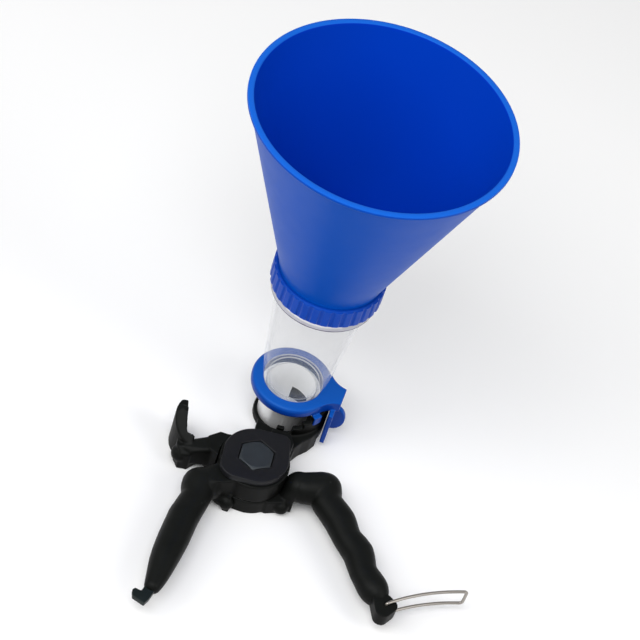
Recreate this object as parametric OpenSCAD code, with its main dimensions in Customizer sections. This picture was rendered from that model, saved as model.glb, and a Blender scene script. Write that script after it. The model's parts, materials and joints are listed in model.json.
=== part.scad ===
// Hand-held dropping funnel: a hopper and clear feed tube clipped onto plier levers.
// The feed axis is Z, and the origin is on that axis where the tool rests on a table.

/* [Hopper] */
// Outer radius of the hopper at its mouth
mouth_r = 70; // [60:1:80]
// Height of the mouth above the table
mouth_z = 246; // [230:1:260]
// Thickness of the hopper wall
hopper_wall = 1.8; // [1.4:0.1:2.4]
// Number of grip ribs round the collar
collar_ribs = 32; // [24:2:44]

/* [Feed tube] */
// Outer radius at the wide upper end of the tube
tube_top_r = 25.2; // [24.5:0.1:26]
// Thickness of the straight spigot at the lower end
spigot_wall = 2.05; // [1.8:0.05:2.3]
// Thickness of the tube wall
tube_wall = 1.8; // [1.5:0.1:1.8]

/* [Sleeve and clip] */
// Inner radius of the steel outlet sleeve
outlet_r = 14.2; // [13.6:0.1:14.4]
// Width of the blue clip ring round the spigot
clip_ring_w = 6.75; // [6:0.05:7.2]
// Thickness of the clip ring along the feed axis
clip_t = 7; // [6:0.5:8]

/* [Levers] */
// Radius of the hub that joins the two levers
hub_r = 20; // [19.5:0.1:20.5]
// Height of the hub above the table
hub_h = 28; // [27:0.5:30]
// Radius of the finger-groove grip at its middle
groove_grip_r = 8.2; // [7.5:0.1:8.8]
// Radius of the smooth grip at its middle
smooth_grip_r = 8.8; // [8:0.1:9.2]

/* [Bail] */
// Diameter of the bail wire
bail_wire_d = 1.8; // [1.4:0.1:2]
// Length of the bail from its hinge to its crossbar
bail_l = 48; // [46:0.5:49]

/* [Hidden] */

// Clearances and small sizes
eps = 0.01;
run_gap = 0.05;
body_gap = 0.4;
round_fn = 96;
soft_fn = 28;

// Hopper and collar levels
collar_z = 116;
collar_h = 14.6;
thread_r = tube_top_r + 2.4;
neck_r = thread_r + 1.4;
neck_bore_r = thread_r - 2.6;
collar_r = neck_r + 1.4;
rib_r = 1.5;
rib_d = 0.4;
neck_z = 127.2;
gasket_t = 1;
rim_h = 2.6;
rim_w = 1.5;
cone_r = mouth_r - rim_w;

// Feed tube levels
flange_r = collar_r - 0.7;
flange_z = 111;
flange_t = 5;
spigot_z = 25.5;
seat_z = 30.6;

// Sleeve and clip
sleeve_wall = 0.8;
sleeve_r = outlet_r + sleeve_wall;
sleeve_top_z = 30;
clip_z = 27.4;
spigot_r = sleeve_r + run_gap + spigot_wall;
taper_low_z = clip_z + clip_t + 0.1;
clip_bore_r = spigot_r + run_gap;
clip_ring_r = clip_bore_r + clip_ring_w;
lug_low = [clip_ring_r + 6.6, -6.7];
lug_high = [clip_ring_r + 7.1, 5.6];
lug_fillet = 14;
leg_low_z = 4;

// Ring jaw
ring_h = 5;
ring_r = sleeve_r + 2;
wall_in_r = ring_r + 5.3;
wall_out_r = wall_in_r + 3.2;
leg_x = wall_out_r + body_gap;
leg_t = 2.6;
inner_leg_y = 8;
inner_leg_x = sqrt(pow(wall_in_r - body_gap, 2) - inner_leg_y * inner_leg_y) - leg_t;
wall_steps = 3;
step_low = 19.6;
step_rise = 3.6;
step_first = -68;
step_turn = 13;
seat_bore_r = sleeve_r - 1.5;
key_h = 12;
wall_end = 10;
tab_angle = -82;
fin_z = 16.2;
fin_h = 9.6;
fin_d = 0.8;

// Hub
pivot = [-5, -56.5];
split_z = 11;
plate_t = 4;
hex_af = 18;
hex_head_h = 7.2;
head_z = hub_h - hex_head_h + 0.3;
bolt_r = 6;
bushing_r = 8;
washer_t = 1.2;
nut_h = 5.8;
nut_z = 0.7;
nut_pocket_r = 12.4;
nut_pocket_h = 7.8;
spring_pocket_r = 15;
spring_pocket_h = 6;
spring_wire_r = 0.8;
spring_coils = 3;
spring_mean_r = 11.5;
friction_t = 0.6;
friction_in_r = 15.8;
friction_out_r = 19;

// Grips, as [x, y, radius] along each centre line at half the hub's height
grip_z = hub_h / 2;
smooth_path = [[-29.5, -78.5, 9.8], [-28.9, -88, 8.3], [-31.4, -103, smooth_grip_r],
    [-32.2, -119, smooth_grip_r], [-33, -133, 7.6], [-33.8, -146, 5.2], [-34.3, -153, 3.8]];
groove_path = [[26, -56.5, 9], [32, -54.4, 9.6], [37.2, -52.4, 9.7], [40.3, -61.2, 8.4],
    [50.5, -70, groove_grip_r + 0.8], [57, -79.5, groove_grip_r - 0.2], [65.5, -87, groove_grip_r + 0.6],
    [71, -98, groove_grip_r - 0.5], [79, -106.5, groove_grip_r + 0.2]];
seam_x = -20;
neck_x = pivot.x + hub_r + 8;
tang_w = 6;
tang_t = 3;
tang_z = grip_z - tang_t / 2;
rivet_r = 1.6;
rivet_l = 8;
hook_tang_path = [[-18, -70], [-29, -82], [-31.6, -104], [-32.6, -122], [-34.2, -154]];
groove_tang_path = [[neck_x - 3, -58.5], [37, -55], [42, -63], [58, -80.5], [78.5, -106.5]];
smooth_rivets = [[-29.8, -88], [-32.3, -116]];
groove_rivets = [[34, -55.6], [61.5, -85]];

// Bail and the block that carries it at the end of the finger-groove grip
bail_hinge = [87.6, -116.7];
bail_rise = 11;
bail_turn = 32;
bail_bow = 2.4;
bail_pin_l = 3.5;
bail_r = bail_wire_d / 2;
bail_pin_r = bail_r + 0.04;
block_t = 8.8;
block_r = 4.4;
bail_bow_r = (bail_l * bail_l / 4 + bail_bow * bail_bow) / (2 * bail_bow);
bail_half_angle = asin(bail_l / 2 / bail_bow_r);

// Side arm and cradle jaw
arm_z = 5;
arm_root_h = 15.5;
arm_tip_h = 10.5;
arm_reach = 28.2;
arm_at = 133;
close_turn = 50;
jaw_centre = [-40.5, -41];
jaw_out_r = 15.5;
jaw_from = 158;
jaw_to = 268;
jaw_low_h = 15;
jaw_high_h = 29;
jaw_slope = 38;
jaw_bevel = 32;
boss_h = split_z - friction_t - 0.1;

// Shapes shared by several parts
module at_pivot(z = 0) {
    translate([pivot.x, pivot.y, z]) children();
}

module ring(outer, inner, h) {
    difference() {
        cylinder(r = outer, h = h, $fn = round_fn);
        translate([0, 0, -eps]) cylinder(r = inner, h = h + 2 * eps, $fn = round_fn);
    }
}

module sector(r, from, to) {
    steps = max(2, ceil((to - from) / 15));
    polygon([[0, 0], for (i = [0:steps]) let (a = from + (to - from) * i / steps)
        [r * cos(a), r * sin(a)]]);
}

module ring_sector(outer, inner, from, to, h) {
    intersection() {
        ring(outer, inner, h);
        linear_extrude(h) sector(2 * outer, from, to);
    }
}

module hexagon(af, h) {
    rotate([0, 0, 33]) cylinder(r = af / sqrt(3), h = h, $fn = 6);
}

module ball(p, z = grip_z) {
    translate([p.x, p.y, z]) sphere(r = p[2], $fn = soft_fn);
}

// Centre of a fillet of radius r that touches the clip ring and passes through a corner
function fillet_centre(corner, r, side) =
    let (reach = clip_ring_r + r, d = norm(corner), along = (reach * reach + d * d - r * r) / (2 * d),
        off = sqrt(reach * reach - along * along), u = corner / d)
    [u.x * along - side * u.y * off, u.y * along + side * u.x * off];

// Hopper
module hopper_cone() {
    low = neck_z + gasket_t;
    color([0.05, 0.2, 0.72]) rotate_extrude($fn = round_fn) polygon([
        [neck_bore_r, low], [neck_r, low], [neck_r, collar_z + collar_h],
        [cone_r, mouth_z - rim_h], [mouth_r, mouth_z - rim_h], [mouth_r, mouth_z],
        [cone_r - hopper_wall, mouth_z], [neck_r - hopper_wall, low + 4.4], [neck_bore_r, low + 1.6]]);
}

module collar_nut() {
    color([0.05, 0.2, 0.6]) {
        translate([0, 0, collar_z]) ring(collar_r, thread_r + run_gap, neck_z - collar_z);
        translate([0, 0, neck_z]) ring(collar_r, neck_r, collar_z + collar_h - neck_z);
        for (i = [0:collar_ribs - 1]) rotate([0, 0, i * 360 / collar_ribs])
            translate([collar_r, 0, collar_z + 0.4]) scale([rib_d, 1, 1])
                cylinder(r = rib_r, h = collar_h - 1.2, $fn = 24);
    }
}

module collar_gasket() {
    color([0.15, 0.15, 0.16]) translate([0, 0, neck_z]) ring(thread_r - 0.4, neck_bore_r, gasket_t);
}

// Clear feed tube with its flange, threaded neck and lower spigot
module feed_tube() {
    color([0.85, 0.9, 0.95, 0.35]) rotate_extrude($fn = round_fn) polygon([
        [sleeve_r + run_gap, spigot_z], [spigot_r, spigot_z], [spigot_r, taper_low_z],
        [tube_top_r, flange_z], [flange_r, flange_z], [flange_r, flange_z + flange_t - 0.2],
        [thread_r, flange_z + flange_t - 0.2], [thread_r, neck_z], [neck_bore_r, neck_z],
        [tube_top_r - tube_wall, flange_z], [sleeve_r + run_gap, taper_low_z]]);
}

module tube_seat_ring() {
    color([0.9, 0.93, 0.95, 0.4]) translate([0, 0, seat_z]) ring(sleeve_r, seat_bore_r, 3 - run_gap);
}

// Blue clip: the ring round the tube, its lug, and two legs that straddle the jaw wall
module tube_clip() {
    color([0.1, 0.4, 0.85]) {
        clip_ring();
        clip_lug();
        translate([leg_x, -13, leg_low_z]) cube([leg_t, 18, clip_z + 1 - leg_low_z]);
        translate([inner_leg_x, -inner_leg_y, clip_z - 12]) cube([leg_t, inner_leg_y - 1, 12 + 1]);
        translate([leg_x + leg_t - 0.5, -2.8, fin_z]) thumb_fin();
    }
}

module clip_ring() {
    rotate_extrude($fn = round_fn) polygon([[clip_bore_r, clip_z], [clip_ring_r - 2, clip_z],
        [clip_ring_r - 0.6, clip_z + 0.7], [clip_ring_r, clip_z + 2.2], [clip_ring_r, clip_z + clip_t - 2.2],
        [clip_ring_r - 0.6, clip_z + clip_t - 0.7], [clip_ring_r - 2, clip_z + clip_t],
        [clip_bore_r, clip_z + clip_t]]);
}

// Fishtail lug with a concave fillet on each side
module clip_lug() {
    low = fillet_centre(lug_low, lug_fillet, -1);
    high = fillet_centre(lug_high, lug_fillet, 1);
    low_root = clip_ring_r * low / norm(low);
    high_root = clip_ring_r * high / norm(high);
    translate([0, 0, clip_z]) linear_extrude(clip_t) difference() {
        polygon([low_root, lug_low, lug_high, high_root]);
        circle(r = clip_bore_r + 1, $fn = round_fn);
        translate(low) circle(r = lug_fillet, $fn = round_fn);
        translate(high) circle(r = lug_fillet, $fn = round_fn);
    }
}

module thumb_fin() {
    intersection() {
        scale([fin_d, 1, 1]) rotate([-90, 0, 0]) cylinder(r = fin_h, h = 3, $fn = 48);
        translate([0, -1, -2 * fin_h]) cube([2 * fin_h, 5, 4 * fin_h]);
    }
}

module steel_sleeve() {
    color([0.75, 0.76, 0.78]) {
        ring(sleeve_r, outlet_r, sleeve_top_z);
    }
}

// Lever with the ring jaw: upper half of the hub, arm, sleeve ring and stepped wall
module ring_lever() {
    color([0.07, 0.07, 0.075]) difference() {
        union() {
            at_pivot(split_z) cylinder(r = hub_r, h = hub_h - plate_t - split_z, $fn = round_fn);
            jaw_arm();
            sleeve_ring();
            left_neck();
        }
        translate([0, 0, -1]) cylinder(r = sleeve_r, h = 40, $fn = round_fn);
        at_pivot(head_z - washer_t) cylinder(r = hex_af / sqrt(3) + 0.3, h = hub_h, $fn = round_fn);
        at_pivot(split_z - 1) cylinder(r = spring_pocket_r, h = spring_pocket_h + 1, $fn = round_fn);
        at_pivot(split_z) cylinder(r = bushing_r, h = hub_h, $fn = round_fn);
        arm_sweep();
        tang(hook_tang_path);
    }
}

// Arm from the upper half of the hub down to the ring jaw
module jaw_arm() {
    difference() {
        linear_extrude(14) polygon([[-12, -10], [-11, -30], [-8, -37], [9, -37], [13.8, -31], [17, -25],
            [21, -20], [24, -14], [14, -4]]);
        translate([0, 0, -1]) cylinder(r = wall_in_r, h = 20, $fn = round_fn);
        at_pivot(-1) cylinder(r = hub_r + body_gap, h = split_z + 1, $fn = round_fn);
    }
    translate([0, 0, split_z]) linear_extrude(10) polygon([[-8, -30], [-12, -42], [-5, -56], [12, -50],
        [12.5, -34], [9, -28]]);
    difference() {
        linear_extrude(split_z) polygon([[-10, -28], [-10, -40], [12.5, -46], [14, -30], [8, -24]]);
        at_pivot(-1) cylinder(r = hub_r + body_gap, h = split_z + 2, $fn = round_fn);
    }
}

// Room for the side arm of the other lever as the two close
module arm_sweep() {
    at_pivot(-1) linear_extrude(arm_z + arm_root_h + 2) difference() {
        sector(arm_reach, arm_at - close_turn, arm_at + 10);
        circle(r = hub_r, $fn = round_fn);
    }
}

// Low ring round the sleeve's foot, and the stepped outer wall that the clip straddles
module sleeve_ring() {
    cylinder(r = ring_r, h = ring_h, $fn = round_fn);
    linear_extrude(ring_h) sector(wall_in_r + 1, -115, wall_end);
    for (i = [0:wall_steps - 1])
        ring_sector(wall_out_r, wall_in_r, step_first + i * step_turn, wall_end, step_low + i * step_rise);
    rotate([0, 0, tab_angle]) translate([ring_r - 1.6, -2.2, 0]) cube([2.6, 4.4, 10]);
    ring_sector(ring_r - 0.4, sleeve_r - 0.5, 40, 87, key_h);
}

module left_neck() {
    difference() {
        union() {
            hull() {
                translate([seam_x, -79, grip_z - 9]) cube([2, 14, 18]);
                translate([-12, -74, 1]) cube([4, 14, hub_h - plate_t - 1.1]);
            }
            translate([-17.5, -77, 0]) cube([7, 8, 12]);
            translate([-13.6, -79.5, 0]) cube([4, 8, 5]);
        }
        at_pivot(-1) cylinder(r = hub_r + body_gap, h = split_z + 1, $fn = round_fn);
    }
}

// Steel strip bedded along the middle of a handle
module tang(path) {
    translate([0, 0, tang_z]) linear_extrude(tang_t) for (i = [0:len(path) - 2]) hull() {
        translate(path[i]) circle(d = tang_w, $fn = 24);
        translate(path[i + 1]) circle(d = tang_w, $fn = 24);
    }
}

module rivets(places, gap = 0) {
    for (p = places) translate([p.x, p.y, grip_z - rivet_l / 2 - gap])
        cylinder(r = rivet_r + gap, h = rivet_l + 2 * gap, $fn = 24);
}

module smooth_grip() {
    color([0.06, 0.065, 0.065]) difference() {
        union() {
            for (i = [0:len(smooth_path) - 2]) hull() {
                ball(smooth_path[i]);
                ball(smooth_path[i + 1]);
            }
            hull() {
                translate([seam_x - 2, -79, grip_z - 9]) cube([2, 14, 18]);
                ball([-27, -77.5, 9.2]);
            }
        }
        translate([seam_x, -100, 0]) cube([40, 60, 40]);
        at_pivot(-1) cylinder(r = hub_r + body_gap, h = split_z + 1, $fn = round_fn);
        at_pivot() cylinder(r = hub_r + run_gap, h = hub_h, $fn = round_fn);
        hook_blade();
        rivets(smooth_rivets, run_gap);
    }
}

// Steel strip inside the smooth grip, whose bare end is the catch for the bail
// Steel blade inside the smooth grip, with the hook at its end
module hook_blade() {
    tang(hook_tang_path);
    translate([0, 0, tang_z]) linear_extrude(tang_t)
        polygon([[-37.2, -154], [-38.3, -158.4], [-41.8, -157.9], [-42.9, -159.5], [-41.6, -163.4],
            [-34.4, -165.6], [-32.8, -161.5], [-31.2, -154]]);
}

module hook_tang() {
    color([0.1, 0.14, 0.14]) difference() {
        hook_blade();
        rivets(smooth_rivets, run_gap);
    }
}

module smooth_grip_rivets() {
    color([0.5, 0.5, 0.52]) rivets(smooth_rivets);
}

module hub_plate() {
    color([0.16, 0.17, 0.19]) difference() {
        translate([0, 0, hub_h - plate_t]) linear_extrude(plate_t) hull() {
            translate(pivot) circle(r = hub_r - 1.4, $fn = round_fn);
            translate([6, -41]) circle(r = 4.6, $fn = 32);
            translate([-13.5, -66.5]) circle(r = 9.4, $fn = 48);
        }
        at_pivot(hub_h - plate_t - 1) hexagon(hex_af + 0.9, plate_t + 2);
    }
}

module pivot_bolt() {
    color([0.3, 0.32, 0.34]) {
        at_pivot(head_z) hexagon(hex_af, hex_head_h);
        at_pivot(nut_z) cylinder(r = bolt_r, h = head_z - nut_z + 1, $fn = round_fn);
    }
}

module top_washer() {
    color([0.6, 0.6, 0.6]) at_pivot(head_z - washer_t) ring(hex_af / 2, bolt_r + run_gap, washer_t);
}

module pivot_bushing() {
    color([0.7, 0.55, 0.3]) at_pivot(nut_pocket_h)
        ring(bushing_r, bolt_r + run_gap, head_z - washer_t - nut_pocket_h);
}

module friction_ring() {
    color([0.7, 0.7, 0.65]) at_pivot(split_z - friction_t) ring(friction_out_r, friction_in_r, friction_t);
}

module return_spring() {
    color([0.5, 0.5, 0.52]) at_pivot(split_z + 0.4) for (i = [0:spring_coils - 1])
        translate([0, 0, spring_wire_r + i * 2 * spring_wire_r]) rotate_extrude($fn = round_fn)
            translate([spring_mean_r, 0]) circle(r = spring_wire_r + 0.02, $fn = 16);
}

module bottom_washer() {
    color([0.6, 0.6, 0.6]) at_pivot(nut_z + nut_h) ring(nut_pocket_r - 1, bolt_r + run_gap, 1.2);
}

module pivot_nut() {
    color([0.5, 0.5, 0.52]) difference() {
        at_pivot(nut_z) hexagon(hex_af, nut_h);
        at_pivot(nut_z - 1) cylinder(r = bolt_r + run_gap, h = nut_h + 2, $fn = round_fn);
    }
}

// Lever with the cradle jaw: lower half of the hub, side arm, curved jaw and neck
module cradle_lever() {
    color([0.07, 0.07, 0.075]) difference() {
        union() {
            at_pivot() cylinder(r = hub_r, h = boss_h, $fn = round_fn);
            side_arm();
            cradle_jaw();
            right_neck();
        }
        at_pivot(-1) cylinder(r = bushing_r + run_gap, h = 40, $fn = round_fn);
        at_pivot(-1) cylinder(r = nut_pocket_r, h = nut_pocket_h + 1, $fn = round_fn);
        tang(groove_tang_path);
    }
}

module side_arm() {
    translate([0, 0, 1]) linear_extrude(boss_h - 1) polygon([[-5, -48], [-20, -43], [-29, -43.5], [-33, -55],
        [-20, -60]]);
    difference() {
        translate([0, 0, arm_z]) {
            linear_extrude(arm_root_h)
                polygon([[-18, -42], [-28.5, -43], [-34, -48.5], [-31, -57], [-20, -62]]);
            hull() {
                linear_extrude(arm_root_h - 0.8) polygon([[-27, -44], [-33.5, -49], [-31, -57], [-26, -57]]);
                linear_extrude(arm_tip_h) polygon([[-43, -51.5], [-47, -58], [-40, -60], [-38, -52]]);
            }
        }
        at_pivot(-1) cylinder(r = hub_r + body_gap, h = 60, $fn = round_fn);
    }
}

// Curved upright jaw, tall at its far tip and low where it meets the arm
module cradle_jaw() {
    difference() {
        union() {
            linear_extrude(jaw_high_h)
                polygon([for (a = [jaw_from:10:jaw_to]) jaw_centre + jaw_out_r * [cos(a), sin(a)],
                    [-41, -52], [-45.9, -51], [-48.2, -45.5], [-50, -39.5], [-51.2, -34.4]]);
            linear_extrude(jaw_low_h)
                polygon([[-50, -50], [-49.4, -57], [-45.5, -62], [-40, -61], [-36, -55], [-41, -52]]);
        }
        translate([-53, -46, jaw_high_h - 4]) rotate([jaw_slope, 0, 0]) translate([-20, -40, 0])
            cube([60, 45, 30]);
        translate([-51, -40, jaw_high_h]) rotate([0, -jaw_bevel, 0]) translate([-20, -20, 0])
            cube([20, 40, 10]);
        at_pivot(clip_z - body_gap) rotate([0, 0, close_turn]) translate([-pivot.x, -pivot.y, 0])
            cylinder(r = clip_ring_r + body_gap, h = 10, $fn = round_fn);
    }
}

// Block that lifts from the lower half of the hub to the finger-groove grip
module right_neck() {
    difference() {
        union() {
            linear_extrude(boss_h)
                polygon([[0, -44], [17, -49], [neck_x, -51], [neck_x, -62.5], [17.5, -68],
                [9.5, -72], [0, -70]]);
            hull() {
                translate([13, -66, 1]) cube([neck_x - 13, 12, 4]);
                ball([neck_x, -56.9, 8.8]);
            }
        }
        at_pivot(boss_h) cylinder(r = hub_r + body_gap, h = 60, $fn = round_fn);
        translate([neck_x, -100, 0]) cube([40, 100, 60]);
    }
}

module groove_grip() {
    color([0.06, 0.065, 0.065]) difference() {
        for (i = [0:len(groove_path) - 2]) hull() {
            ball(groove_path[i]);
            ball(groove_path[i + 1]);
        }
        translate([neck_x - 20, -100, 0]) cube([20, 100, 40]);
        tang(groove_tang_path);
        rivets(groove_rivets, run_gap);
        bail_block_shape(body_gap / 4);
    }
}

module groove_tang() {
    color([0.5, 0.5, 0.52]) difference() {
        tang(groove_tang_path);
        rivets(groove_rivets, run_gap);
        bail_block_shape(0.1);
    }
}

module groove_grip_rivets() {
    color([0.5, 0.5, 0.52]) rivets(groove_rivets);
}

module bail_block() {
    color([0.06, 0.06, 0.06]) difference() {
        bail_block_shape(0);
        translate([bail_hinge.x, bail_hinge.y, -1]) cylinder(r = bail_pin_r + run_gap, h = 40, $fn = 32);
    }
}

// Rounded block at the end of the finger-groove grip
module bail_block_shape(grow) {
    translate([0, 0, grip_z - block_t / 2 - grow]) linear_extrude(block_t + 2 * grow) hull() {
        translate([83.5, -112.5]) circle(r = block_r + grow, $fn = 32);
        translate([89.6, -116]) circle(r = block_r + grow, $fn = 32);
        translate([87, -120.4]) circle(r = block_r + grow, $fn = 32);
    }
}

module wire_bail() {
    color([0.6, 0.58, 0.55]) translate([bail_hinge.x, bail_hinge.y, grip_z]) rotate([0, 0, bail_turn]) {
        for (s = [-1, 1]) translate([0, 0, s * bail_rise / 2]) {
            bail_leg();
            translate([0, 0, s < 0 ? -bail_r - 0.1 : bail_r + 0.1 - bail_pin_l])
                cylinder(r = bail_pin_r, h = bail_pin_l, $fn = 32);
        }
        translate([bail_l, 0, -bail_rise / 2 - bail_r - 0.1])
            cylinder(r = bail_pin_r, h = bail_rise + bail_wire_d + 0.2, $fn = 32);
    }
}

// One leg of the bail, a shallow arc from the hinge to the crossbar
module bail_leg() {
    translate([bail_l / 2, bail_bow - bail_bow_r, 0]) rotate([0, 0, 90 - bail_half_angle])
        rotate_extrude(angle = 2 * bail_half_angle, $fn = 8 * round_fn)
            translate([bail_bow_r, 0]) circle(r = bail_r, $fn = 24);
}

hopper_cone();
collar_nut();
collar_gasket();
feed_tube();
tube_seat_ring();
tube_clip();
steel_sleeve();
ring_lever();
smooth_grip();
hook_tang();
smooth_grip_rivets();
hub_plate();
pivot_bolt();
top_washer();
pivot_bushing();
friction_ring();
return_spring();
bottom_washer();
pivot_nut();
cradle_lever();
groove_grip();
groove_tang();
groove_grip_rivets();
bail_block();
wire_bail();
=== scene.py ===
import json
from math import cos, pi, radians, sin, sqrt, tan

import bmesh
import bpy
from mathutils import Matrix, Vector


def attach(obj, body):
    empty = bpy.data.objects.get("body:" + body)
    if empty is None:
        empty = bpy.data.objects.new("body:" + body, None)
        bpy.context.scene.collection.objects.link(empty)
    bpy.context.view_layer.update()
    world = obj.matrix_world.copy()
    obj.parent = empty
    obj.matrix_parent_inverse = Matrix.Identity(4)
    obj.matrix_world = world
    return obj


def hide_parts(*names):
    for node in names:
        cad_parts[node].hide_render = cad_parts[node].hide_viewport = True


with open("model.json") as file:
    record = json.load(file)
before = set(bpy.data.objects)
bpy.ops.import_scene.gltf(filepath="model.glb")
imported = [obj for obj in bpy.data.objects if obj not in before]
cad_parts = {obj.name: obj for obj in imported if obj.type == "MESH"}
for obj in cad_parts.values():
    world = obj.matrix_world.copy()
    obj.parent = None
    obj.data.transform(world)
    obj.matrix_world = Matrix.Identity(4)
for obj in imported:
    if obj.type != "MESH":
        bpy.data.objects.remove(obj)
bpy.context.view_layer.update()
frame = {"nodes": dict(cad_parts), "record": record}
nodes = frame["nodes"]
body_of = {n: b for b, ns in frame["record"]["behaviour"]["bodies"].items() for n in ns}
slot_of = {p["node"]: p["material_slot"] for p in frame["record"]["subparts"]}
MM = 0.001
joints = frame["record"]["behaviour"]["joints"]
hinge_at = {j["name"]: [v / MM for v in j["pos_m"]] for j in joints if "pos_m" in j}
PIVOT, HINGE = hinge_at["lever_pivot"][:2], Vector(hinge_at["bail_swing"][:2])
GRIP_Z = hinge_at["lever_pivot"][2]


# ---------------------------------------------------------------- shader nodes
def new_material(name):
    mat = bpy.data.materials.new(name)
    mat.use_nodes = True
    return mat


def shader_of(mat):
    """A material's nodes, its links and its main shader."""
    tree = mat.node_tree
    return tree.nodes, tree.links, tree.nodes["Principled BSDF"]


def noise(nt, links, coords, scale, detail, stretch=None):
    """A noise pattern on object coordinates, stretched along an axis if asked."""
    tex = nt.new("ShaderNodeTexNoise")
    tex.inputs["Scale"].default_value = scale
    tex.inputs["Detail"].default_value = detail
    source = coords.outputs["Object"]
    if stretch:
        mapping = nt.new("ShaderNodeMapping")
        mapping.inputs["Scale"].default_value = stretch
        links.new(source, mapping.inputs["Vector"])
        source = mapping.outputs["Vector"]
    links.new(source, tex.inputs["Vector"])
    return tex.outputs["Fac"]


def remap(nt, links, value, start, end, low=0.0, high=1.0, smooth=False):
    """Maps a value that runs from start to end onto low to high."""
    ramp = nt.new("ShaderNodeMapRange")
    if smooth:
        ramp.interpolation_type = "SMOOTHSTEP"
    for label, number in (("From Min", start), ("From Max", end), ("To Min", low), ("To Max", high)):
        ramp.inputs[label].default_value = number
    links.new(value, ramp.inputs["Value"])
    return ramp.outputs["Result"]


def blend(nt, links, factor, under, over):
    """Mixes two colours, each an RGB triple or another node's output."""
    mix = nt.new("ShaderNodeMix")
    mix.data_type = "RGBA"
    links.new(factor, mix.inputs["Factor"])
    for label, color in (("A", under), ("B", over)):
        if isinstance(color, tuple):
            mix.inputs[label].default_value = (*color, 1)
        else:
            links.new(color, mix.inputs[label])
    return mix.outputs["Result"]


def emboss(nt, links, bsdf, height, strength, depth):
    """Raises the skin by a height pattern, up to a depth in mm."""
    bump = nt.new("ShaderNodeBump")
    bump.inputs["Strength"].default_value = strength
    bump.inputs["Distance"].default_value = depth * MM
    links.new(height, bump.inputs["Height"])
    links.new(bump.outputs["Normal"], bsdf.inputs["Normal"])


def height_of(nt, links, coords):
    """The height along the feed axis, in metres."""
    split = nt.new("ShaderNodeSeparateXYZ")
    links.new(coords.outputs["Object"], split.inputs["Vector"])
    return split.outputs["Z"]


def band(nt, links, height, low, high, soft):
    """1 between two heights in mm and 0 outside them, with soft ends."""
    both = nt.new("ShaderNodeMath")
    both.operation = "MULTIPLY"
    for end, (outside, inside) in enumerate(((low - soft, low), (high + soft, high))):
        links.new(remap(nt, links, height, outside * MM, inside * MM, smooth=True), both.inputs[end])
    return both.outputs["Value"]


# ---------------------------------------------------------------- finishes
SIDE_ON, FACING_UP = -0.1, 0.95  # the normal's Z where the side colour, a painted light and shade, is full, and where it ends
WEAR_AND_SHEEN_STARTS, WEAR_AND_SHEEN_FULL = 0.52, 0.62  # how sharp an edge is (pointiness) where its paler edge, partly wear and partly painted sheen, starts, and is full
ROUGH_SPREAD = 0.06
CLEAR_ROUGH = 0.1
CLEAR_SPECULAR = 0.6
FACING_BLEND = 0.3
BLOTCH_DETAIL, STREAK_DETAIL, FINE_DETAIL = 4.0, 5.0, 2.0
RIPPLE_SCALE, RIPPLE_STRETCH = 45.0, (1, 1, 0.25)
RIPPLE_BUMP, RIPPLE_DEPTH = 0.12, 0.3
RIM_BAND, RIM_SOFT = 5, 0.4
EDGE_STARTS, EDGE_FULL = 0.25, 0.95  # how edge on clear plastic is where its painted sheen whitens it, and is whitest
COAT, COAT_ROUGH = 0.2, 0.1


def surface(name, color, rough, vary=0.08, grain=900.0, bump=0.05, depth=0.02, metallic=0.0, stretch=None,
            patch=60.0, edge_wear_and_sheen=0.0, edge_wear_and_sheen_color=None, specular=0.5, side=None, tint=None):
    """A procedural finish: blotchy colour, uneven roughness, fine grain, paler sharp edges (partly wear,
    partly painted sheen), and another colour (side) where the skin doesn't face up, which is painted light
    and shade for how light falls on those faces."""
    mat = new_material(name)
    nt, links, bsdf = shader_of(mat)
    coords = nt.new("ShaderNodeTexCoord")
    darker = tuple(c * (1 - vary) for c in color)
    lighter = tuple(min(1, c * (1 + vary) + vary * 0.01) for c in color)
    shade = blend(nt, links, noise(nt, links, coords, patch, BLOTCH_DETAIL), darker, lighter)
    # The side colour is painted light and shade: faces that don't face up take another colour for how light
    # falls on them.
    if side:
        normal = nt.new("ShaderNodeSeparateXYZ")
        links.new(nt.new("ShaderNodeNewGeometry").outputs["Normal"], normal.inputs["Vector"])
        upward = remap(nt, links, normal.outputs["Z"], SIDE_ON, FACING_UP)
        shade = blend(nt, links, upward, side, shade)
    # Paler sharp edges: partly wear, partly a painted sheen where light catches them.
    if edge_wear_and_sheen:
        sharpness = nt.new("ShaderNodeNewGeometry").outputs["Pointiness"]
        worn_and_lit = remap(nt, links, sharpness, WEAR_AND_SHEEN_STARTS, WEAR_AND_SHEEN_FULL, 0, edge_wear_and_sheen)
        shade = blend(nt, links, worn_and_lit, shade, edge_wear_and_sheen_color)
    links.new(shade, bsdf.inputs["Base Color"])
    streaks = noise(nt, links, coords, patch * 3, STREAK_DETAIL, stretch)
    uneven = remap(nt, links, streaks, 0, 1, rough - ROUGH_SPREAD, rough + ROUGH_SPREAD)
    links.new(uneven, bsdf.inputs["Roughness"])
    emboss(nt, links, bsdf, noise(nt, links, coords, grain, FINE_DETAIL, stretch), bump, depth)
    bsdf.inputs["Metallic"].default_value = metallic
    bsdf.inputs["Specular IOR Level"].default_value = specular
    if tint:
        bsdf.inputs["Specular Tint"].default_value = (*tint, 1)
    return mat


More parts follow.
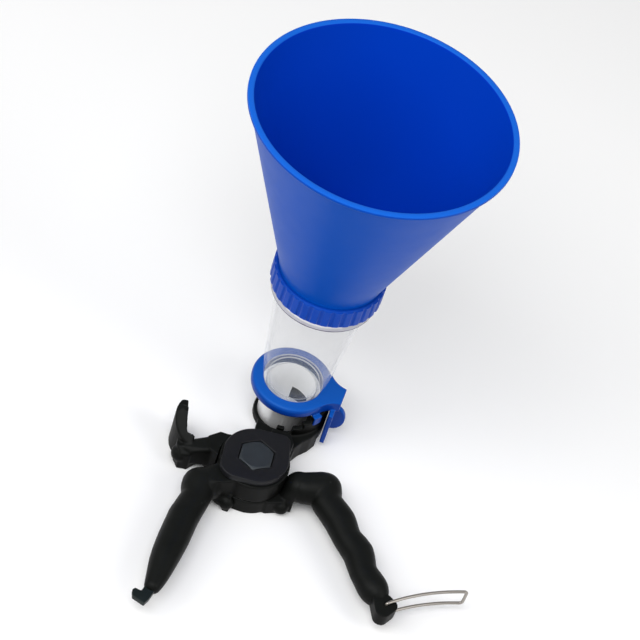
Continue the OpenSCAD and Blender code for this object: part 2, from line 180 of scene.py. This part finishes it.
def clear_plastic(name, body_color, edge_sheen_color, facing, edge, lines=()):
    """Clear moulded plastic: faint when seen square on, whiter edge on, where its colour is a painted sheen.
    facing and edge are its opacity in the two. Each of the lines is a band of painted colour (low, high,
    soft, color, opacity), in mm along the axis; on the tube some stand in for highlights, shade and parts
    seen through it."""
    mat = new_material(name)
    nt, links, bsdf = shader_of(mat)
    bsdf.inputs["Roughness"].default_value = CLEAR_ROUGH
    bsdf.inputs["Specular IOR Level"].default_value = CLEAR_SPECULAR
    coords = nt.new("ShaderNodeTexCoord")
    weight = nt.new("ShaderNodeLayerWeight")
    weight.inputs["Blend"].default_value = FACING_BLEND
    edge_on = remap(nt, links, weight.outputs["Facing"], EDGE_STARTS, EDGE_FULL, smooth=True)
    shade = blend(nt, links, edge_on, body_color, edge_sheen_color)
    alpha = remap(nt, links, edge_on, 0, 1, facing, edge)
    height = height_of(nt, links, coords)
    for low, high, soft, line_color, opacity in lines:
        inside = band(nt, links, height, low, high, soft)
        shade = blend(nt, links, inside, shade, line_color)
        opaque = nt.new("ShaderNodeMix")
        opaque.inputs["B"].default_value = opacity
        links.new(inside, opaque.inputs["Factor"])
        links.new(alpha, opaque.inputs["A"])
        alpha = opaque.outputs["Result"]
    links.new(shade, bsdf.inputs["Base Color"])
    links.new(alpha, bsdf.inputs["Alpha"])
    ripple = noise(nt, links, coords, RIPPLE_SCALE, FINE_DETAIL, RIPPLE_STRETCH)
    emboss(nt, links, bsdf, ripple, RIPPLE_BUMP, RIPPLE_DEPTH)
    return mat


def rim_highlight_above(mat, level, color):
    """Paints a highlight on a moulded rim: a paler colour above a height in mm, for the light that catches
    the lip.
    """
    nt, links, bsdf = shader_of(mat)
    height = height_of(nt, links, nt.new("ShaderNodeTexCoord"))
    rim = band(nt, links, height, level, level + RIM_BAND, RIM_SOFT)
    under = bsdf.inputs["Base Color"].links[0].from_socket
    links.new(blend(nt, links, rim, under, color), bsdf.inputs["Base Color"])


def matt_inside(mat, limit):
    """Takes the metal off a skin inside a radius (mm) about the feed axis, and coats it thinly outside."""
    nt, links, bsdf = shader_of(mat)
    across = nt.new("ShaderNodeVectorMath")
    across.operation = "MULTIPLY"
    across.inputs[1].default_value = (1, 1, 0)
    links.new(nt.new("ShaderNodeTexCoord").outputs["Object"], across.inputs[0])
    length = nt.new("ShaderNodeVectorMath")
    length.operation = "LENGTH"
    links.new(across.outputs["Vector"], length.inputs[0])
    for label, outside in (("Metallic", bsdf.inputs["Metallic"].default_value), ("Coat Weight", COAT)):
        amount = remap(nt, links, length.outputs["Value"], limit * MM, (limit + 0.1) * MM, 0, outside)
        links.new(amount, bsdf.inputs[label])
    bsdf.inputs["Coat Roughness"].default_value = COAT_ROUGH


TUBE_BANDS = (
    (26, 38, 12, (0.80, 0.85, 0.95), 0.11),  # a pale cast round the foot, fading upwards
    (29, 33.4, 0.5, (0.16, 0.30, 0.60), 0.24),  # painted refraction: the blue clip, as seen through the foot, painted on the tube
    (34.2, 34.9, 0.35, (0.96, 0.97, 1), 0.6),  # painted highlight: the bright line where the foot ends
    (111.8, 115.8, 0.2, (0.93, 0.93, 0.97), 0.45),  # the flange under the collar
    (110.9, 111.8, 0.2, (0.035, 0.022, 0.12), 0.9),  # painted shade: the dark line along the flange's lower edge, where the plastic bends the light
)
LOOK = {
    # The hopper's side colour, on its downward-facing outer wall, is painted light: the same plastic shows
    # greener and paler outside, deeper inside.
    "hopper_blue": surface("hopper_blue", (0.0, 0.004, 0.52), 0.42, vary=0.04, grain=700, bump=0.12,
                           depth=0.03, patch=25, specular=0.10, tint=(0.30, 0.72, 1.0),
                           side=(0.0, 0.064, 0.41)),
    # The collar's paler sharp edges are a painted highlight along its rib crests.
    "collar_blue": surface("collar_blue", (0.0, 0.040, 0.36), 0.44, grain=1100, bump=0.15, depth=0.03,
                           edge_wear_and_sheen=0.25, edge_wear_and_sheen_color=(0.03, 0.16, 0.60), specular=0.28, tint=(0.30, 0.72, 1.0)),
    "gasket_rubber": surface("gasket_rubber", (0.05, 0.05, 0.05), 0.8),
    "clear_plastic": clear_plastic("clear_plastic", (0.75, 0.77, 0.80), (0.93, 0.94, 0.98), 0.03, 0.22),
    "tube_plastic": clear_plastic("tube_plastic", (0.54, 0.55, 0.57), (0.95, 0.96, 0.99), 0.075, 0.36,
                                  TUBE_BANDS),
    # The clip's side colour is painted shade on its walls.
    "clip_blue": surface("clip_blue", (0.004, 0.085, 0.43), 0.32, vary=0.04, grain=600, bump=0.10, depth=0.03,
                         patch=40, specular=0.24, side=(0, 0.034, 0.29), tint=(0.35, 0.7, 1.0)),
    "sleeve_steel": surface("sleeve_steel", (0.93, 0.935, 0.94), 0.40, vary=0.03, grain=500, bump=0.12,
                            depth=0.01, metallic=0.45, stretch=(1, 1, 0.04)),
    # Black nylon: its side colour is painted shade on the walls; its paler sharp edges are partly wear,
    # partly painted sheen.
    "black_nylon": surface("black_nylon", (0.0050, 0.0057, 0.0052), 0.46, vary=0.25, grain=1500, bump=0.3,
                           depth=0.03, patch=90, edge_wear_and_sheen=0.25, edge_wear_and_sheen_color=(0.035, 0.04, 0.038), specular=0.09,
                           side=(0.0012, 0.0013, 0.0009)),
    # The plate, tang and bolt's paler sharp edges are partly wear, partly painted sheen.
    "plate_grey": surface("plate_grey", (0.0075, 0.0078, 0.0095), 0.42, vary=0.15, grain=1200, bump=0.25,
                          patch=80, edge_wear_and_sheen=0.25, edge_wear_and_sheen_color=(0.03, 0.03, 0.036), specular=0.2),
    "tang_steel": surface("tang_steel", (0.009, 0.0145, 0.014), 0.42, vary=0.3, metallic=0.3, bump=0.2,
                          patch=120, edge_wear_and_sheen=0.3, edge_wear_and_sheen_color=(0.06, 0.07, 0.07), specular=0.2),
    "bolt_steel": surface("bolt_steel", (0.028, 0.034, 0.040), 0.44, vary=0.2, metallic=0.3, bump=0.2,
                          patch=150, edge_wear_and_sheen=0.3, edge_wear_and_sheen_color=(0.12, 0.13, 0.14), specular=0.3),
    "washer_steel": surface("washer_steel", (0.6, 0.6, 0.6), 0.3, metallic=1.0),
    "bushing_bronze": surface("bushing_bronze", (0.6, 0.42, 0.2), 0.4, metallic=1.0),
    "spring_steel": surface("spring_steel", (0.35, 0.35, 0.36), 0.3, metallic=1.0),
    "wire_steel": surface("wire_steel", (0.36, 0.335, 0.305), 0.34, vary=0.03, metallic=1.0, grain=400,
                          bump=0.02, depth=0.005, patch=40),
}
LOOK["grip_black"] = LOOK["black_nylon"]
matt_inside(LOOK["sleeve_steel"], 14.45)
# Painted highlight along the hopper's lip.
rim_highlight_above(LOOK["hopper_blue"], 245.6, (0.008, 0.115, 0.60))
for node_name, part in nodes.items():
    part.data.materials.clear()
    part.data.materials.append(LOOK[slot_of[node_name]])


# ---------------------------------------------------------------- making pieces
def add(name, data, body, look, replaced, smooth_angle=40.0, paint=None):
    """A finished piece: linked, shaded, riding on its body, and standing for its CAD nodes. paint is its
    finish where that isn't the slot's own."""
    piece = bpy.data.objects.new(name, data)
    bpy.context.scene.collection.objects.link(piece)
    data.materials.clear()
    data.materials.append(LOOK[paint or look])
    data.shade_smooth()
    data.set_sharp_from_angle(angle=radians(smooth_angle))
    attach(piece, body)
    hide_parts(*replaced)


def baked(name, data, modify=None):
    """The mesh that data becomes, after the modifiers that modify adds."""
    temp = bpy.data.objects.new(name + "_temp", data)
    bpy.context.scene.collection.objects.link(temp)
    if modify:
        modify(temp)
    graph = bpy.context.evaluated_depsgraph_get()
    graph.update()
    mesh = bpy.data.meshes.new_from_object(temp.evaluated_get(graph))
    mesh.name = name
    bpy.data.objects.remove(temp)
    return mesh


def finished(bm, name):
    """The mesh of a bmesh that is done with."""
    mesh = bpy.data.meshes.new(name)
    bm.to_mesh(mesh)
    bm.free()
    return mesh


def revolve(name, profile, steps, radius=None):
    """Turns a closed (r, z) outline in mm about the feed axis. radius(r, z, angle) may change a point's
    radius."""
    bm = bmesh.new()
    rings = []
    for k in range(steps):
        a = 2 * pi * k / steps
        row = []
        for r, z in profile:
            if radius:
                r = radius(r, z, a)
            row.append(bm.verts.new((r * cos(a) * MM, r * sin(a) * MM, z * MM)))
        rings.append(row)
    count = len(profile)
    for k in range(steps):
        now, following = rings[k], rings[(k + 1) % steps]
        for i in range(count):
            j = (i + 1) % count
            bm.faces.new((now[i], following[i], following[j], now[j]))
    bmesh.ops.recalc_face_normals(bm, faces=bm.faces)
    return finished(bm, name)


def curve_corner(start, corner, end, steps):
    """Points along the curve from start to end that a corner pulls."""
    shares = [s / steps for s in range(steps + 1)]
    return [(1 - t) ** 2 * start + 2 * t * (1 - t) * corner + t ** 2 * end for t in shares]


def rounded(points, radius):
    """A closed outline with its corners rounded."""
    out = []
    for i, point in enumerate(points):
        here = Vector(point)
        back = Vector(points[i - 1]) - here
        ahead = Vector(points[(i + 1) % len(points)]) - here
        start = here + back.normalized() * radius
        end = here + ahead.normalized() * radius
        out += [tuple(p) for p in curve_corner(start, here, end, 4)]
    return out


def moulded(name, sources, voxel, passes):
    """One smooth moulded skin over several closed meshes, with soft edges. voxel is in mm."""
    bm = bmesh.new()
    for source in sources:
        bm.from_mesh(source)
    bmesh.ops.remove_doubles(bm, verts=bm.verts, dist=1e-6)

    def modify(temp):
        remesh = temp.modifiers.new("Remesh", "REMESH")
        remesh.mode = "VOXEL"
        remesh.voxel_size = voxel * MM
        smooth = temp.modifiers.new("Smooth", "SMOOTH")
        smooth.factor = 0.5
        smooth.iterations = passes
    return baked(name, finished(bm, name + "_raw"), modify)


def spline_point(points, t):
    """A point on the Catmull-Rom curve through points, at t from 0 to len(points) - 1."""
    last = len(points) - 1
    i = min(int(t), last - 1)
    u = t - i
    p = [Vector(points[max(0, min(last, i + k))]) for k in (-1, 0, 1, 2)]
    return 0.5 * (2 * p[1] + (p[2] - p[0]) * u + (2 * p[0] - 5 * p[1] + 4 * p[2] - p[3]) * u ** 2
                  + (3 * p[1] - p[0] - 3 * p[2] + p[3]) * u ** 3)


def lumps(places):
    """Closed spheres, each (x, y, z, radius) in mm, for the moulded skins."""
    bm = bmesh.new()
    for x, y, z, r in places:
        place = Matrix.Translation((x * MM, y * MM, z * MM))
        bmesh.ops.create_icosphere(bm, subdivisions=3, radius=r * MM, matrix=place)
    return finished(bm, "lumps")


BEAD_SPACING = 1.4


def bead_chain(path, level):
    """Closed spheres along a smooth path of (x, y, radius), which the moulded skin joins into one grip."""
    length = sum((Vector(b[:2]) - Vector(a[:2])).length for a, b in zip(path, path[1:]))
    count = int(length / BEAD_SPACING)
    beads = [spline_point(path, k * (len(path) - 1) / count) for k in range(count + 1)]
    return lumps([(x, y, level, r) for x, y, r in beads])


def plate(name, loops, low, high, bevel):
    """A flat plate between two levels, from closed outlines in mm, with rounded edges."""
    curve = bpy.data.curves.new(name + "_outline", "CURVE")
    curve.dimensions = "2D"
    curve.fill_mode = "BOTH"
    curve.extrude = ((high - low) / 2 - bevel) * MM
    curve.bevel_depth = bevel * MM
    curve.bevel_resolution = 3
    curve.offset = -bevel * MM
    for loop in loops:
        spline = curve.splines.new("POLY")
        spline.points.add(len(loop) - 1)
        for point, (x, y) in zip(spline.points, loop):
            point.co = (x * MM, y * MM, 0, 1)
        spline.use_cyclic_u = True
    mesh = baked(name, curve)
    mesh.transform(Matrix.Translation((0, 0, (high + low) / 2 * MM)))
    bm = bmesh.new()
    bm.from_mesh(mesh)
    bmesh.ops.remove_doubles(bm, verts=bm.verts, dist=1e-6)
    bmesh.ops.recalc_face_normals(bm, faces=bm.faces)
    bm.to_mesh(mesh)
    bm.free()
    return mesh


def block(corners, low, high):
    """A closed prism between two levels, from an outline in mm, for cuts and the moulded skins."""
    bm = bmesh.new()
    bottom = [bm.verts.new((x * MM, y * MM, low * MM)) for x, y in corners]
    top = [bm.verts.new((x * MM, y * MM, high * MM)) for x, y in corners]
    bm.faces.new(bottom[::-1])
    bm.faces.new(top)
    count = len(corners)
    for i in range(count):
        j = (i + 1) % count
        bm.faces.new((bottom[i], bottom[j], top[j], top[i]))
    bmesh.ops.recalc_face_normals(bm, faces=bm.faces)
    return finished(bm, "block")


def on_circle(centre, r, angle):
    """A point on a circle, with the angle in radians."""
    return (centre[0] + r * cos(angle), centre[1] + r * sin(angle))


def circle(centre, r, steps):
    return [on_circle(centre, r, 2 * pi * k / steps) for k in range(steps)]


def sector(inner, outer, start, end, steps):
    """A ring sector's outline about the feed axis, in mm and degrees."""
    turns = [radians(start + (end - start) * k / steps) for k in range(steps + 1)]
    inside = [on_circle((0, 0), inner, a) for a in turns]
    return inside + [on_circle((0, 0), outer, a) for a in turns[::-1]]


def hull(points):
    """The convex outline round a set of points, anticlockwise."""
    points = sorted(set(points))
    halves = []
    for run in (points, points[::-1]):
        half = []
        for q in run:
            while len(half) > 1 and ((half[-1][0] - half[-2][0]) * (q[1] - half[-2][1])
                                     - (half[-1][1] - half[-2][1]) * (q[0] - half[-2][0])) <= 0:
                half.pop()
            half.append(q)
        halves += half[:-1]
    return halves


# ---------------------------------------------------------------- hopper and collar
HOPPER = [(25, 128.25), (28.9, 128.25), (29, 130.4), (29.15, 131.2), (29.7, 132.6), (40, 162.0), (55, 204.8),
          (67.9, 241.6), (68.6, 243.2), (69.3, 243.5), (69.8, 243.75), (70, 244.2), (70, 245.3),
          (69.85, 245.75), (69.4, 246), (67.5, 246), (66.95, 245.8), (66.6, 245.2), (66.2, 244), (53.3, 205),
          (38.3, 162), (28.2, 133.6), (26.6, 131.2), (25.2, 130.0)]
add("hopper_shell", revolve("hopper_shell", HOPPER, 256), body_of["hopper_cone"], "hopper_blue",
    ["hopper_cone"])

RIBS = 32
RIB_RISE = 0.8
RIB_FROM, RIB_TO = 116.5, 128.2
RIB_VALLEY, RIB_SLOPE = 0.18, 0.3  # shares of half a rib's width
COLLAR_R = 30.4
COLLAR = [(27.7, 116), (30.0, 116), (30.45, 116.25), (30.45, 116.45), (30.45, 116.9), (30.45, 123),
          (30.45, 127.7), (30.45, 128.15), (30.42, 128.4), (30.1, 128.75), (29.05, 128.75), (29.02, 127.3),
          (27.7, 127.3)]


def ribbed(r, z, a):
    """Wide flat ribs with narrow round valleys between them."""
    if r < COLLAR_R:
        return r
    across = abs((a * RIBS / (2 * pi)) % 1 - 0.5) * 2
    ridge = min(1, max(0, (across - RIB_VALLEY) / RIB_SLOPE))
    ridge = ridge * ridge * (3 - 2 * ridge)
    return r + RIB_RISE * ridge * (1 if RIB_FROM < z < RIB_TO else 0.1)


add("collar_ribbed", revolve("collar_ribbed", COLLAR, RIBS * 16, ribbed), body_of["collar_nut"],
    "collar_blue", ["collar_nut"])

# ---------------------------------------------------------------- clear tube
TUBE = [(15.05, 25.5), (16.9, 25.5), (17.1, 25.7), (17.1, 30.0), (17.1, 34.5), (17.5, 35.6), (18.4, 38.6),
        (19.5, 44), (20.7, 53), (21.9, 66), (26.0, 107.4), (26.3, 109.8), (26.9, 110.95), (29.3, 111),
        (29.65, 111.3), (29.7, 111.8), (29.7, 115.2), (29.5, 115.7), (29.1, 115.85), (27.6, 115.85),
        (27.6, 127.1), (25.1, 127.1), (25.0, 126), (24.9, 115), (24.6, 110), (20.4, 68), (19.1, 53),
        (17.8, 44), (16.6, 38.6), (15.3, 35), (15.05, 33.6)]
SEAT = [(13.5, 30.9), (13.8, 30.6), (14.9, 30.6), (15.0, 30.8), (15.0, 33.3), (14.8, 33.5), (13.9, 33.5),
        (13.5, 33.1)]
PARTING_ANGLES = (-pi / 2, pi / 2)
PARTING_FROM, PARTING_TO = 34.6, 110.5
PARTING_RISE = 0.22
PARTING_WIDTH = 0.013  # in radians, to each side
FOOT_TOP_R, FOOT_TOP = 17.1, 33.6
TUBE_TAPER = 0.1  # what the outer wall's radius gains per mm of height
SKIN = 0.4


def parting(r, z, a):
    """A faint raised parting line down the front and the back of the moulding, on its outer skin."""
    inside = r < FOOT_TOP_R + (z - FOOT_TOP) * TUBE_TAPER - SKIN
    if inside or z > PARTING_TO or z < PARTING_FROM:
        return r
    near = min(abs((a - s + pi) % (2 * pi) - pi) for s in PARTING_ANGLES)
    return r + PARTING_RISE * max(0, 1 - near / PARTING_WIDTH)


add("tube_clear", revolve("tube_clear", TUBE, 480, parting), body_of["feed_tube"], "clear_plastic",
    ["feed_tube"], paint="tube_plastic")
add("seat_ring", revolve("seat_ring", SEAT, 192), body_of["tube_seat_ring"], "clear_plastic",
    ["tube_seat_ring"])

# ---------------------------------------------------------------- steel sleeve
SLEEVE = [(14.2, 0.15), (14.35, 0), (14.75, 0), (14.84, 0.2), (14.84, 29.4), (14.8, 29.8), (14.6, 30),
          (14.35, 30), (14.2, 29.8)]
SLEEVE_MID_R = 14.6
LAP_ANGLE = radians(-83)
LAP_RISE = 0.16
LAP_WIDTH = 0.5  # in radians
WINDOW_FROM, WINDOW_TO = 38, 87  # in degrees
WINDOW_TOP = 11


def rolled(r, z, a):
    """The rolled sheet's outer edge overlaps itself in one small step."""
    past = (a - LAP_ANGLE + pi) % (2 * pi) - pi
    if r > SLEEVE_MID_R and 0 < past < LAP_WIDTH:
        return r + LAP_RISE * (1 - past / LAP_WIDTH)
    return r


wedge = sector(13.6, 15.6, WINDOW_FROM, WINDOW_TO, 4)
window = bpy.data.objects.new("foot_window", block(wedge, -1, WINDOW_TOP))
bpy.context.scene.collection.objects.link(window)


def cut_window(temp):
    """Takes the window out of the sleeve's foot, where the lever's upright key stands."""
    difference = temp.modifiers.new("Window", "BOOLEAN")
    difference.object = window
    difference.solver = "EXACT"


sleeve = baked("sleeve_rolled", revolve("sleeve_full", SLEEVE, 360, rolled), cut_window)
bpy.data.objects.remove(window)
add("sleeve_rolled", sleeve, body_of["steel_sleeve"], "sleeve_steel", ["steel_sleeve"])

# ---------------------------------------------------------------- blue clip
TAB_FROM, TAB_TO = -43, -31  # in degrees
TAB_OUTER = 26.5
TAB_FOOT, TAB_UNDER, TAB_TOP = 21.5, 26.9, 27.6
front_tab = [block(sector(25.7, TAB_OUTER, TAB_FROM, TAB_TO, 8), TAB_FOOT, TAB_TOP),
             block(sector(22.5, TAB_OUTER, TAB_FROM, TAB_TO, 8), TAB_UNDER, TAB_TOP)]
add("clip_moulded", moulded("clip_moulded", [nodes["tube_clip"].data] + front_tab, 0.32, 9),
    body_of["tube_clip"], "clip_blue", ["tube_clip"], 60)

# ---------------------------------------------------------------- levers and grips
SMOOTH = [(-24, -75, 9.0), (-29.5, -79.0, 9.6), (-28.9, -88, 8.5), (-31.2, -103, 8.8), (-32.2, -119, 8.8),
          (-33, -133, 7.9), (-33.2, -145, 6.2), (-33.6, -152, 4.8)]
GROOVED = [(26, -56.5, 9), (32, -54.4, 9.6), (37.2, -52.9, 9.6), (41.2, -60.8, 8.5), (50.5, -70, 9.0),
           (57.3, -79.2, 8.0), (65.5, -87.2, 8.8), (71.3, -97.7, 7.8), (78.5, -106, 8.5), (81.4, -109.4, 6.8)]

# Rounded lumps that soften the castings: (x, y, z, radius)
RING_LUMPS = [(-12.5, -76.3, 4.9, 4.6), (-16.5, -74.5, 5.5, 5)]
CRADLE_LUMPS = [(17, -67, 5, 4.6), (-45.9, -57.2, 8.2, 5.4), (-42.9, -48.3, 14.6, 1.3)]

for lever, grip, path, places in (("ring_lever", "smooth_grip", SMOOTH, RING_LUMPS),
                                  ("cradle_lever", "groove_grip", GROOVED, CRADLE_LUMPS)):
    solids = [nodes[lever].data, nodes[grip].data, bead_chain(path, GRIP_Z), lumps(places)]
    add(lever + "_moulded", moulded(lever + "_moulded", solids, 0.5, 10), body_of[lever], "black_nylon",
        [lever, grip], 60)
add("bail_block_moulded", moulded("bail_block_moulded", [nodes["bail_block"].data], 0.3, 5),
    body_of["bail_block"], "black_nylon", ["bail_block"], 60)
add("hook_catch", moulded("hook_catch", [nodes["hook_tang"].data], 0.3, 3), body_of["hook_tang"],
    "tang_steel", ["hook_tang"], 50)

# ---------------------------------------------------------------- hub plate and bolt
HUB_LOW, HUB_TOP = 24, 28
HUB_R, HUB_EDGE = 18.6, 0.7
FRONT_LOBE, FRONT_LOBE_R = (-13.5, -66.5), 9.4
BACK_LOBE, BACK_LOBE_R = (6, -41), 4.6
HEX_TURN = radians(33)
HEX_HOLE, HEX_HOLE_ROUND = 19.0, 0.4
HEX_ACROSS, HEX_LOW, HEX_TOP = 18.0, 21.1, 28.2
CHAMFER = radians(28)
CAP_SHARE = 0.95  # the flat top's radius, as a share of half the width across flats
SHANK_R, SHANK_MID, SHANK_L = 6, 11.2, 21

corners = [on_circle(PIVOT, HEX_HOLE / sqrt(3), HEX_TURN + k * pi / 3) for k in range(6)]
hex_hole = rounded(corners, HEX_HOLE_ROUND)
lobes = circle(BACK_LOBE, BACK_LOBE_R, 36) + circle(FRONT_LOBE, FRONT_LOBE_R, 72)
hub_outline = hull(circle(PIVOT, HUB_R, 120) + lobes)
add("hub_plate_moulded", plate("hub_plate_moulded", [hub_outline, hex_hole], HUB_LOW, HUB_TOP, HUB_EDGE),
    body_of["hub_plate"], "plate_grey", ["hub_plate"])


def hex_head(steps=120):
    """The bolt's hexagon head, with a turned chamfer round its top."""
    bm = bmesh.new()
    flat = HEX_ACROSS / 2
    cap = flat * CAP_SHARE
    columns = []
    for k in range(steps):
        a = 2 * pi * k / steps
        edge = flat / cos((a - HEX_TURN) % (pi / 3) - pi / 6)
        drop = max(0, edge - cap) * tan(CHAMFER)
        points = [(edge, HEX_LOW), (edge, HEX_TOP - drop - 0.05), (edge - 0.12, HEX_TOP - drop + 0.02),
                  (cap, HEX_TOP - 0.02)] + [(cap * share, HEX_TOP) for share in (0.985, 0.9, 0.55)]
        columns.append([bm.verts.new((*(p * MM for p in on_circle(PIVOT, r, a)), z * MM)) for r, z in points])
    for k in range(steps):
        now, following = columns[k], columns[(k + 1) % steps]
        for i in range(len(now) - 1):
            bm.faces.new((now[i], following[i], following[i + 1], now[i + 1]))
    bm.faces.new([c[-1] for c in columns])
    bm.faces.new([c[0] for c in columns][::-1])
    bmesh.ops.recalc_face_normals(bm, faces=bm.faces)
    return bm


bolt = hex_head()
bmesh.ops.create_cone(bolt, cap_ends=True, segments=64, radius1=SHANK_R * MM, radius2=SHANK_R * MM,
                      depth=SHANK_L * MM,
                      matrix=Matrix.Translation((PIVOT[0] * MM, PIVOT[1] * MM, SHANK_MID * MM)))
add("bolt_hex", finished(bolt, "bolt_hex"), body_of["pivot_bolt"], "bolt_steel", ["pivot_bolt"], 25)

# ---------------------------------------------------------------- wire bail
WIRE_R = 0.9
BAIL_TURN = radians(32)
BAIL_L = 48
BAIL_RISE = 11
BAIL_BOW = 2.4
LEG_STEPS = 24
PIN = Vector((0, 0, 3.5 - WIRE_R))
HINGE_BEND, FAR_BEND = 1.5, 2.0


def bail_side(side, share):
    """A point along one leg (side is -1 below and 1 above), at a share of its length."""
    local = Vector((BAIL_L * share, BAIL_BOW * 4 * share * (1 - share)))
    turned = Vector((local.x * cos(BAIL_TURN) - local.y * sin(BAIL_TURN),
                     local.x * sin(BAIL_TURN) + local.y * cos(BAIL_TURN))) + HINGE
    return Vector((turned.x, turned.y, GRIP_Z + side * BAIL_RISE / 2))


def bend(a, b, c, reach):
    """The wire's bend at b, on the way from a to c."""
    return curve_corner(b + (a - b).normalized() * reach, b, b + (c - b).normalized() * reach, 8)


def leg_points(side):
    return [bail_side(side, k / LEG_STEPS) for k in range(1, LEG_STEPS)]


low_hinge, high_hinge = bail_side(-1, 0), bail_side(1, 0)
low_far, high_far = bail_side(-1, 1), bail_side(1, 1)
route = [low_hinge + PIN] + bend(low_hinge + PIN, low_hinge, bail_side(-1, 0.1), HINGE_BEND)
route += leg_points(-1) + bend(bail_side(-1, 0.95), low_far, high_far, FAR_BEND)
route += bend(low_far, high_far, bail_side(1, 0.95), FAR_BEND) + leg_points(1)[::-1]
route += bend(bail_side(1, 0.1), high_hinge, high_hinge - PIN, HINGE_BEND) + [high_hinge - PIN]
wire = bpy.data.curves.new("bail_route", "CURVE")
wire.dimensions = "3D"
wire.bevel_depth = WIRE_R * MM
wire.bevel_resolution = 6
wire.use_fill_caps = True
line = wire.splines.new("POLY")
line.points.add(len(route) - 1)
for point, place in zip(line.points, route):
    point.co = (*(place * MM), 1)
add("bail_wire", baked("bail_wire", wire), body_of["wire_bail"], "wire_steel", ["wire_bail"], 50)

# ---------------------------------------------------------------- stage, light and camera
bpy.ops.mesh.primitive_plane_add(size=6)
floor = bpy.context.object
floor.name = "studio_floor"
floor_mat = new_material("floor_pale")
floor_bsdf = shader_of(floor_mat)[2]
floor_bsdf.inputs["Base Color"].default_value = (0.97, 0.97, 0.97, 1)
floor_bsdf.inputs["Roughness"].default_value = 0.9
floor.data.materials.append(floor_mat)

world = bpy.data.worlds.new("studio")
bpy.context.scene.world = world
world.use_nodes = True
world.node_tree.nodes["Background"].inputs["Color"].default_value = (1, 1, 1, 1)
world.node_tree.nodes["Background"].inputs["Strength"].default_value = 0.36


def softbox(name, place, target, size, power):
    """A rectangular lamp, aimed at a target."""
    data = bpy.data.lights.new(name, "AREA")
    data.shape = "RECTANGLE"
    data.size, data.size_y = size
    data.energy = power
    lamp = bpy.data.objects.new(name, data)
    bpy.context.scene.collection.objects.link(lamp)
    lamp.location = place
    lamp.rotation_euler = (Vector(target) - Vector(place)).to_track_quat("-Z", "Y").to_euler()


softbox("left", (-1.2, -0.6, 1.1), (0, -0.05, 0.1), (0.9, 1.1), 9)
softbox("right", (1.3, -0.4, 1.0), (0, -0.05, 0.12), (0.7, 1.1), 7.5)
softbox("key_above", (-0.2, -0.9, 1.7), (0, -0.05, 0.05), (1.3, 1.0), 21)

VIEW_TARGET = (0.00325, -0.02989, 0.12)
VIEW_DISTANCE = 1.16813
VIEW_RISE = 47.1866  # degrees above the floor, from the front
VIEW_ROLL = 19.3707  # degrees that the camera leans to its left
camera = bpy.data.objects.new("camera", bpy.data.cameras.new("camera"))
bpy.context.scene.collection.objects.link(camera)
camera.matrix_world = (Matrix.Translation(VIEW_TARGET) @ Matrix.Rotation(radians(90 - VIEW_RISE), 4, "X")
                       @ Matrix.Rotation(radians(VIEW_ROLL), 4, "Z")
                       @ Matrix.Translation((0, 0, VIEW_DISTANCE)))
camera.data.lens = 123.75
camera.data.sensor_width = 36
camera.data.clip_end = 20
bpy.context.scene.camera = camera
bpy.context.scene.view_settings.view_transform = "Standard"
